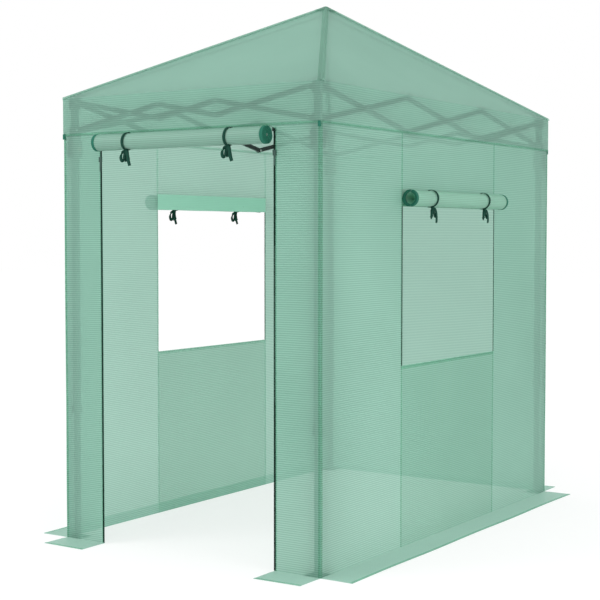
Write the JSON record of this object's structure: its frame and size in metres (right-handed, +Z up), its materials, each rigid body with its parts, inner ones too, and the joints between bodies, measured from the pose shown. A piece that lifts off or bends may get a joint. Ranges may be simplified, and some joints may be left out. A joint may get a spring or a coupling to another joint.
{
  "type": "pop up greenhouse",
  "caption": "Walk-in folding greenhouse: scissor-truss frame on telescopic legs, pyramid roof cover, roll-up door and two side windows.",
  "frame": {"origin": "centre of the footprint on the ground", "axes": "+Z up; the doorway is in the wall at -Y; +X to the right of somebody looking in through the door"},
  "size_m": [1.46, 2.22, 2.1795],
  "materials": {
    "frame_black": "satin powder coat",
    "joint_plastic": "moulded",
    "button_red": "moulded",
    "green_film": "translucent reinforced film",
    "strap_green": "woven tape",
    "zip_green": "coil zip on woven tape",
    "pole_black": "fibreglass",
    "zip_metal": "cast"
  },
  "bodies": {
    "corner_fl": {"leg_outer_fl": "frame_black", "bracket_fl": "joint_plastic", "front_wall": "green_film", "left_wall": "green_film", "roof_cover": "green_film", "roof_poles": "pole_black", "roof_hub": "joint_plastic", "door_roll": "green_film", "door_ties": "strap_green", "door_zips": "zip_green", "left_window_roll": "green_film", "left_window_ties": "strap_green"},
    "corner_fr": {"leg_outer_fr": "frame_black", "bracket_fr": "joint_plastic", "right_wall": "green_film", "right_window_roll": "green_film", "right_window_ties": "strap_green"},
    "corner_bl": {"leg_outer_bl": "frame_black", "bracket_bl": "joint_plastic", "back_wall": "green_film"},
    "corner_br": {"leg_outer_br": "frame_black", "bracket_br": "joint_plastic"},
    "front_bar_1": {"front_bar_1": "frame_black"},
    "front_bar_2": {"front_bar_2": "frame_black"},
    "front_bar_3": {"front_bar_3": "frame_black"},
    "front_bar_4": {"front_bar_4": "frame_black"},
    "front_bar_5": {"front_bar_5": "frame_black"},
    "front_bar_6": {"front_bar_6": "frame_black"},
    "left_bar_1": {"left_bar_1": "frame_black"},
    "left_bar_2": {"left_bar_2": "frame_black"},
    "left_bar_3": {"left_bar_3": "frame_black"},
    "left_bar_4": {"left_bar_4": "frame_black"},
    "left_bar_5": {"left_bar_5": "frame_black"},
    "left_bar_6": {"left_bar_6": "frame_black"},
    "right_bar_1": {"right_bar_1": "frame_black"},
    "right_bar_2": {"right_bar_2": "frame_black"},
    "right_bar_3": {"right_bar_3": "frame_black"},
    "right_bar_4": {"right_bar_4": "frame_black"},
    "right_bar_5": {"right_bar_5": "frame_black"},
    "right_bar_6": {"right_bar_6": "frame_black"},
    "back_bar_1": {"back_bar_1": "frame_black"},
    "back_bar_2": {"back_bar_2": "frame_black"},
    "back_bar_3": {"back_bar_3": "frame_black"},
    "back_bar_4": {"back_bar_4": "frame_black"},
    "back_bar_5": {"back_bar_5": "frame_black"},
    "back_bar_6": {"back_bar_6": "frame_black"},
    "slider_fl": {"slider_fl": "joint_plastic"},
    "slider_button_fl": {"slider_button_fl": "button_red"},
    "leg_inner_fl": {"leg_inner_fl": "frame_black"},
    "slider_fr": {"slider_fr": "joint_plastic"},
    "slider_button_fr": {"slider_button_fr": "button_red"},
    "leg_inner_fr": {"leg_inner_fr": "frame_black"},
    "slider_bl": {"slider_bl": "joint_plastic"},
    "slider_button_bl": {"slider_button_bl": "button_red"},
    "leg_inner_bl": {"leg_inner_bl": "frame_black"},
    "slider_br": {"slider_br": "joint_plastic"},
    "slider_button_br": {"slider_button_br": "button_red"},
    "leg_inner_br": {"leg_inner_br": "frame_black"},
    "door_zip_pull_left": {"door_zip_pull_left": "zip_metal"},
    "door_zip_pull_right": {"door_zip_pull_right": "zip_metal"}
  },
  "joints": [
    {"name": "front_fold", "type": "hinge", "parent": "corner_fl", "child": "front_bar_1", "pos_m": [-0.54, -0.96, 1.725], "axis": [0, 1, 0], "range_deg": [0, 62]},
    {"name": "front_cross_1", "type": "hinge", "parent": "front_bar_1", "child": "front_bar_2", "pos_m": [-0.27, -0.96, 1.671], "axis": [0, 1, 0], "range_deg": [-124, 0]},
    {"name": "front_knee_1_low", "type": "hinge", "parent": "front_bar_1", "child": "front_bar_3", "pos_m": [-0.135, -0.96, 1.644], "axis": [0, 1, 0], "range_deg": [-124, 0]},
    {"name": "front_knee_1_top", "type": "hinge", "parent": "front_bar_2", "child": "front_bar_4", "pos_m": [-0.135, -0.96, 1.698], "axis": [0, 1, 0], "range_deg": [0, 124], "deforming": ["front_wall", "back_wall", "left_wall", "right_wall", "roof_cover", "roof_poles", "roof_hub", "door_roll", "door_ties", "door_zips", "left_window_roll", "left_window_ties", "right_window_roll", "right_window_ties"]},
    {"name": "front_knee_2_top", "type": "hinge", "parent": "front_bar_3", "child": "front_bar_5", "pos_m": [0.135, -0.96, 1.698], "axis": [0, 1, 0], "range_deg": [0, 124]},
    {"name": "front_knee_2_low", "type": "hinge", "parent": "front_bar_4", "child": "front_bar_6", "pos_m": [0.135, -0.96, 1.644], "axis": [0, 1, 0], "range_deg": [-124, 0]},
    {"name": "slider_fl_pivot", "type": "hinge", "parent": "front_bar_2", "child": "slider_fl", "pos_m": [-0.54, -0.96, 1.617], "axis": [0, 1, 0], "range_deg": [0, 62]},
    {"name": "slider_fr_pivot", "type": "hinge", "parent": "front_bar_5", "child": "slider_fr", "pos_m": [0.54, -0.96, 1.617], "axis": [0, 1, 0], "range_deg": [-62, 0]},
    {"name": "corner_fr_pivot", "type": "hinge", "parent": "front_bar_6", "child": "corner_fr", "pos_m": [0.54, -0.96, 1.725], "axis": [0, 1, 0], "range_deg": [0, 62]},
    {"name": "left_fold", "type": "hinge", "parent": "corner_fl", "child": "left_bar_1", "pos_m": [-0.58, -0.92, 1.725], "axis": [-1, 0, 0], "range_deg": [0, 62]},
    {"name": "left_cross_1", "type": "hinge", "parent": "left_bar_1", "child": "left_bar_2", "pos_m": [-0.58, -0.65, 1.671], "axis": [-1, 0, 0], "range_deg": [-124, 0]},
    {"name": "left_knee_1_low", "type": "hinge", "parent": "left_bar_1", "child": "left_bar_3", "pos_m": [-0.58, -0.325, 1.606], "axis": [-1, 0, 0], "range_deg": [-124, 0]},
    {"name": "left_knee_1_top", "type": "hinge", "parent": "left_bar_2", "child": "left_bar_4", "pos_m": [-0.58, -0.325, 1.736], "axis": [-1, 0, 0], "range_deg": [0, 124]},
    {"name": "left_knee_2_top", "type": "hinge", "parent": "left_bar_3", "child": "left_bar_5", "pos_m": [-0.58, 0.325, 1.736], "axis": [-1, 0, 0], "range_deg": [0, 124]},
    {"name": "left_knee_2_low", "type": "hinge", "parent": "left_bar_4", "child": "left_bar_6", "pos_m": [-0.58, 0.325, 1.606], "axis": [-1, 0, 0], "range_deg": [-124, 0]},
    {"name": "slider_bl_pivot", "type": "hinge", "parent": "left_bar_5", "child": "slider_bl", "pos_m": [-0.58, 0.92, 1.617], "axis": [-1, 0, 0], "range_deg": [-62, 0]},
    {"name": "corner_bl_pivot", "type": "hinge", "parent": "left_bar_6", "child": "corner_bl", "pos_m": [-0.58, 0.92, 1.725], "axis": [-1, 0, 0], "range_deg": [0, 62]},
    {"name": "right_fold", "type": "hinge", "parent": "corner_fr", "child": "right_bar_1", "pos_m": [0.58, -0.92, 1.725], "axis": [-1, 0, 0], "range_deg": [0, 62]},
    {"name": "right_cross_1", "type": "hinge", "parent": "right_bar_1", "child": "right_bar_2", "pos_m": [0.58, -0.65, 1.671], "axis": [-1, 0, 0], "range_deg": [-124, 0]},
    {"name": "right_knee_1_low", "type": "hinge", "parent": "right_bar_1", "child": "right_bar_3", "pos_m": [0.58, -0.325, 1.606], "axis": [-1, 0, 0], "range_deg": [-124, 0]},
    {"name": "right_knee_1_top", "type": "hinge", "parent": "right_bar_2", "child": "right_bar_4", "pos_m": [0.58, -0.325, 1.736], "axis": [-1, 0, 0], "range_deg": [0, 124]},
    {"name": "right_knee_2_top", "type": "hinge", "parent": "right_bar_3", "child": "right_bar_5", "pos_m": [0.58, 0.325, 1.736], "axis": [-1, 0, 0], "range_deg": [0, 124]},
    {"name": "right_knee_2_low", "type": "hinge", "parent": "right_bar_4", "child": "right_bar_6", "pos_m": [0.58, 0.325, 1.606], "axis": [-1, 0, 0], "range_deg": [-124, 0]},
    {"name": "slider_br_pivot", "type": "hinge", "parent": "right_bar_5", "child": "slider_br", "pos_m": [0.58, 0.92, 1.617], "axis": [-1, 0, 0], "range_deg": [-62, 0]},
    {"name": "corner_br_pivot", "type": "hinge", "parent": "right_bar_6", "child": "corner_br", "pos_m": [0.58, 0.92, 1.725], "axis": [-1, 0, 0], "range_deg": [0, 62]},
    {"name": "back_fold", "type": "hinge", "parent": "corner_bl", "child": "back_bar_1", "pos_m": [-0.54, 0.96, 1.725], "axis": [0, 1, 0], "range_deg": [0, 62]},
    {"name": "back_cross_1", "type": "hinge", "parent": "back_bar_1", "child": "back_bar_2", "pos_m": [-0.27, 0.96, 1.671], "axis": [0, 1, 0], "range_deg": [-124, 0]},
    {"name": "back_knee_1_low", "type": "hinge", "parent": "back_bar_1", "child": "back_bar_3", "pos_m": [-0.135, 0.96, 1.644], "axis": [0, 1, 0], "range_deg": [-124, 0]},
    {"name": "back_knee_1_top", "type": "hinge", "parent": "back_bar_2", "child": "back_bar_4", "pos_m": [-0.135, 0.96, 1.698], "axis": [0, 1, 0], "range_deg": [0, 124]},
    {"name": "back_knee_2_top", "type": "hinge", "parent": "back_bar_3", "child": "back_bar_5", "pos_m": [0.135, 0.96, 1.698], "axis": [0, 1, 0], "range_deg": [0, 124]},
    {"name": "back_knee_2_low", "type": "hinge", "parent": "back_bar_4", "child": "back_bar_6", "pos_m": [0.135, 0.96, 1.644], "axis": [0, 1, 0], "range_deg": [-124, 0]},
    {"name": "leg_slide_fl", "type": "slide", "parent": "corner_fl", "child": "leg_inner_fl", "axis": [0, 0, 1], "range_m": [0, 0.49]},
    {"name": "slider_release_fl", "type": "slide", "parent": "slider_fl", "child": "slider_button_fl", "axis": [-1, 0, 0], "range_m": [0, 0.004], "stiffness_N_per_m": 800},
    {"name": "leg_slide_fr", "type": "slide", "parent": "corner_fr", "child": "leg_inner_fr", "axis": [0, 0, 1], "range_m": [0, 0.49]},
    {"name": "slider_release_fr", "type": "slide", "parent": "slider_fr", "child": "slider_button_fr", "axis": [1, 0, 0], "range_m": [0, 0.004], "stiffness_N_per_m": 800},
    {"name": "leg_slide_bl", "type": "slide", "parent": "corner_bl", "child": "leg_inner_bl", "axis": [0, 0, 1], "range_m": [0, 0.49]},
    {"name": "slider_release_bl", "type": "slide", "parent": "slider_bl", "child": "slider_button_bl", "axis": [-1, 0, 0], "range_m": [0, 0.004], "stiffness_N_per_m": 800},
    {"name": "leg_slide_br", "type": "slide", "parent": "corner_br", "child": "leg_inner_br", "axis": [0, 0, 1], "range_m": [0, 0.49]},
    {"name": "slider_release_br", "type": "slide", "parent": "slider_br", "child": "slider_button_br", "axis": [1, 0, 0], "range_m": [0, 0.004], "stiffness_N_per_m": 800},
    {"name": "door_zip_left", "type": "slide", "parent": "corner_fl", "child": "door_zip_pull_left", "axis": [0, 0, 1], "range_m": [-1.4, 0]},
    {"name": "door_zip_right", "type": "slide", "parent": "corner_fr", "child": "door_zip_pull_right", "axis": [0, 0, 1], "range_m": [-1.4, 0]}
  ],
  "couplings": [
    {"joint": "front_cross_1", "follows": "front_knee_1_top", "ratio": -1},
    {"joint": "front_knee_1_low", "follows": "front_knee_1_top", "ratio": -1},
    {"joint": "front_knee_2_top", "follows": "front_knee_1_top", "ratio": 1},
    {"joint": "front_knee_2_low", "follows": "front_knee_1_top", "ratio": -1},
    {"joint": "slider_fl_pivot", "follows": "front_knee_1_top", "ratio": 0.5},
    {"joint": "slider_fr_pivot", "follows": "front_knee_1_top", "ratio": -0.5},
    {"joint": "corner_fr_pivot", "follows": "front_knee_1_top", "ratio": 0.5},
    {"joint": "left_fold", "follows": "front_knee_1_top", "ratio": 0.5},
    {"joint": "left_cross_1", "follows": "front_knee_1_top", "ratio": -1},
    {"joint": "left_knee_1_low", "follows": "front_knee_1_top", "ratio": -1},
    {"joint": "left_knee_1_top", "follows": "front_knee_1_top", "ratio": 1},
    {"joint": "left_knee_2_top", "follows": "front_knee_1_top", "ratio": 1},
    {"joint": "left_knee_2_low", "follows": "front_knee_1_top", "ratio": -1},
    {"joint": "slider_bl_pivot", "follows": "front_knee_1_top", "ratio": -0.5},
    {"joint": "corner_bl_pivot", "follows": "front_knee_1_top", "ratio": 0.5},
    {"joint": "right_fold", "follows": "front_knee_1_top", "ratio": 0.5},
    {"joint": "right_cross_1", "follows": "front_knee_1_top", "ratio": -1},
    {"joint": "right_knee_1_low", "follows": "front_knee_1_top", "ratio": -1},
    {"joint": "right_knee_1_top", "follows": "front_knee_1_top", "ratio": 1},
    {"joint": "right_knee_2_top", "follows": "front_knee_1_top", "ratio": 1},
    {"joint": "right_knee_2_low", "follows": "front_knee_1_top", "ratio": -1},
    {"joint": "slider_br_pivot", "follows": "front_knee_1_top", "ratio": -0.5},
    {"joint": "corner_br_pivot", "follows": "front_knee_1_top", "ratio": 0.5},
    {"joint": "back_fold", "follows": "front_knee_1_top", "ratio": 0.5},
    {"joint": "back_cross_1", "follows": "front_knee_1_top", "ratio": -1},
    {"joint": "back_knee_1_low", "follows": "front_knee_1_top", "ratio": -1},
    {"joint": "back_knee_1_top", "follows": "front_knee_1_top", "ratio": 1},
    {"joint": "back_knee_2_top", "follows": "front_knee_1_top", "ratio": 1},
    {"joint": "back_knee_2_low", "follows": "front_knee_1_top", "ratio": -1},
    {"joint": "front_fold", "follows": "front_knee_1_top", "ratio": 0.5}
  ]
}
